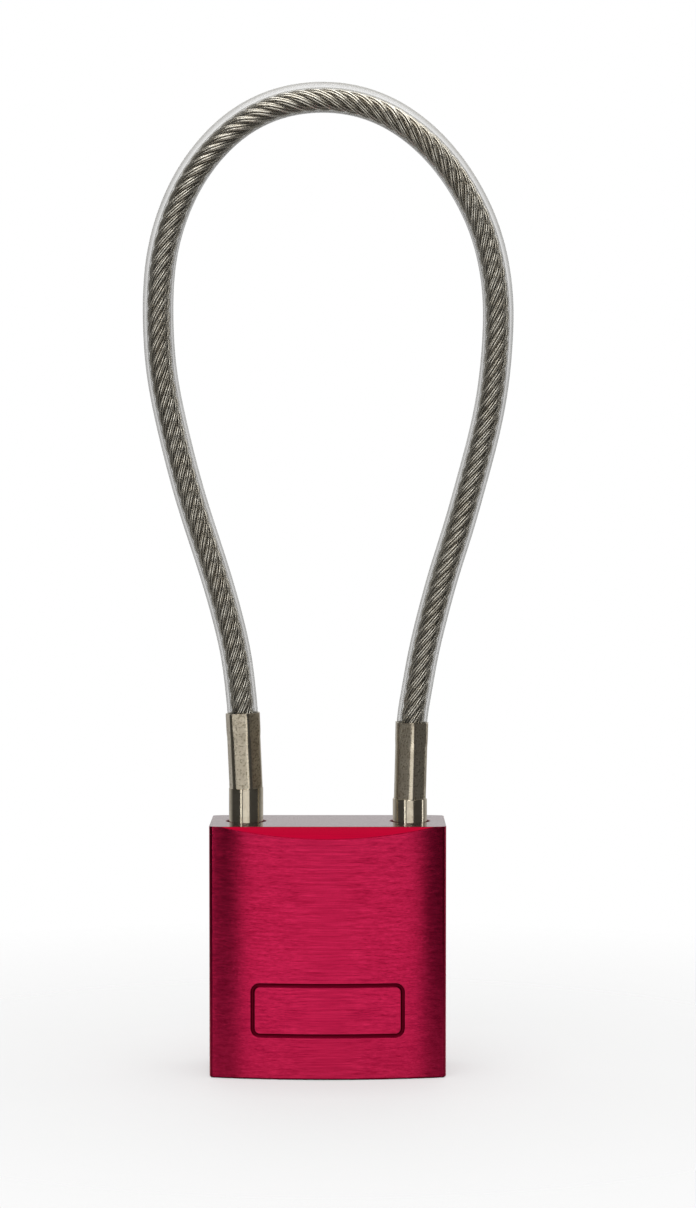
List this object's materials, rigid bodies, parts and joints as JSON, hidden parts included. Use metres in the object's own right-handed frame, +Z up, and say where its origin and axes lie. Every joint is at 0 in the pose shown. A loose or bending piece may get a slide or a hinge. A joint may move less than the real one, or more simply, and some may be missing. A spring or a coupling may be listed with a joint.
{
  "type": "cable padlock",
  "caption": "Keyed cable padlock: curved aluminium body, pin cylinder below, and a loop of jacketed wire rope whose crimped ends enter the top of the body.",
  "frame": {"origin": "centre of the flat bottom face of the body", "axes": "+Z up along the legs, +X from the heel leg to the toe leg, -Y out of the front face"},
  "size_m": [0.0469, 0.016, 0.1261],
  "materials": {
    "body_anodised": "brushed, crimson anodised",
    "terminal_nickel": "satin nickel plate",
    "rope_steel": "drawn wire",
    "jacket_clear": "clear, smooth",
    "cylinder_brass": "turned",
    "plug_brass": "turned",
    "cam_brass": "cast",
    "pin_brass": "turned",
    "pin_steel": "turned, nickel plated",
    "ball_steel": "polished",
    "spring_steel": "drawn wire",
    "steel_dark": "blackened"
  },
  "bodies": {
    "case": {"lock_body": "body_anodised", "cylinder_housing": "cylinder_brass", "chamber_caps": "cylinder_brass", "cylinder_screw": "steel_dark", "heel_stop_pin": "steel_dark", "shackle_spring": "spring_steel", "pin_spring_1": "spring_steel", "pin_spring_2": "spring_steel", "pin_spring_3": "spring_steel", "pin_spring_4": "spring_steel", "pin_spring_5": "spring_steel"},
    "plug": {"plug": "plug_brass", "plug_clip": "steel_dark", "locking_rotor": "cam_brass"},
    "heel_ball": {"heel_ball": "ball_steel"},
    "toe_ball": {"toe_ball": "ball_steel"},
    "shackle": {"heel_terminal": "terminal_nickel", "toe_terminal": "terminal_nickel", "wire_rope": "rope_steel", "cable_jacket": "jacket_clear"},
    "key_pin_1": {"key_pin_1": "pin_brass"},
    "key_pin_2": {"key_pin_2": "pin_brass"},
    "key_pin_3": {"key_pin_3": "pin_brass"},
    "key_pin_4": {"key_pin_4": "pin_brass"},
    "key_pin_5": {"key_pin_5": "pin_brass"},
    "driver_pin_1": {"driver_pin_1": "pin_steel"},
    "driver_pin_2": {"driver_pin_2": "pin_steel"},
    "driver_pin_3": {"driver_pin_3": "pin_steel"},
    "driver_pin_4": {"driver_pin_4": "pin_steel"},
    "driver_pin_5": {"driver_pin_5": "pin_steel"}
  },
  "joints": [
    {"name": "plug_turn", "type": "hinge", "parent": "case", "child": "plug", "pos_m": [0, 0, 0.01], "axis": [0, 0, 1], "range_deg": [-90, 0]},
    {"name": "heel_ball_slide", "type": "slide", "parent": "case", "child": "heel_ball", "axis": [-1, 0, 0], "range_m": [0, 0.000951]},
    {"name": "toe_ball_slide", "type": "slide", "parent": "case", "child": "toe_ball", "axis": [1, 0, 0], "range_m": [0, 0.000951]},
    {"name": "shackle_lift", "type": "slide", "parent": "case", "child": "shackle", "axis": [0, 0, 1], "range_m": [0, 0.0095], "deforming": ["shackle_spring"]},
    {"name": "key_pin_1_slide", "type": "slide", "parent": "plug", "child": "key_pin_1", "axis": [0, -1, 0], "range_m": [0, 0.00135]},
    {"name": "key_pin_2_slide", "type": "slide", "parent": "plug", "child": "key_pin_2", "axis": [0, -1, 0], "range_m": [0, 0.00075]},
    {"name": "key_pin_3_slide", "type": "slide", "parent": "plug", "child": "key_pin_3", "axis": [0, -1, 0], "range_m": [0, 0.00115]},
    {"name": "key_pin_4_slide", "type": "slide", "parent": "plug", "child": "key_pin_4", "axis": [0, -1, 0], "range_m": [0, 0.00055]},
    {"name": "key_pin_5_slide", "type": "slide", "parent": "plug", "child": "key_pin_5", "axis": [0, -1, 0], "range_m": [0, 0.00095]},
    {"name": "driver_pin_1_slide", "type": "slide", "parent": "case", "child": "driver_pin_1", "axis": [1, 0, 0], "range_m": [0, 0.0015], "stiffness_N_per_m": 150, "springref_m": -0.001, "deforming": ["pin_spring_1"]},
    {"name": "driver_pin_2_slide", "type": "slide", "parent": "case", "child": "driver_pin_2", "axis": [1, 0, 0], "range_m": [0, 0.0015], "stiffness_N_per_m": 150, "springref_m": -0.001, "deforming": ["pin_spring_2"]},
    {"name": "driver_pin_3_slide", "type": "slide", "parent": "case", "child": "driver_pin_3", "axis": [1, 0, 0], "range_m": [0, 0.0015], "stiffness_N_per_m": 150, "springref_m": -0.001, "deforming": ["pin_spring_3"]},
    {"name": "driver_pin_4_slide", "type": "slide", "parent": "case", "child": "driver_pin_4", "axis": [1, 0, 0], "range_m": [0, 0.0015], "stiffness_N_per_m": 150, "springref_m": -0.001, "deforming": ["pin_spring_4"]},
    {"name": "driver_pin_5_slide", "type": "slide", "parent": "case", "child": "driver_pin_5", "axis": [1, 0, 0], "range_m": [0, 0.0015], "stiffness_N_per_m": 150, "springref_m": -0.001, "deforming": ["pin_spring_5"]}
  ],
  "couplings": [
    {"joint": "heel_ball_slide", "follows": "plug_turn", "m_per_rad": -0.00060479},
    {"joint": "toe_ball_slide", "follows": "plug_turn", "m_per_rad": -0.00060479}
  ]
}
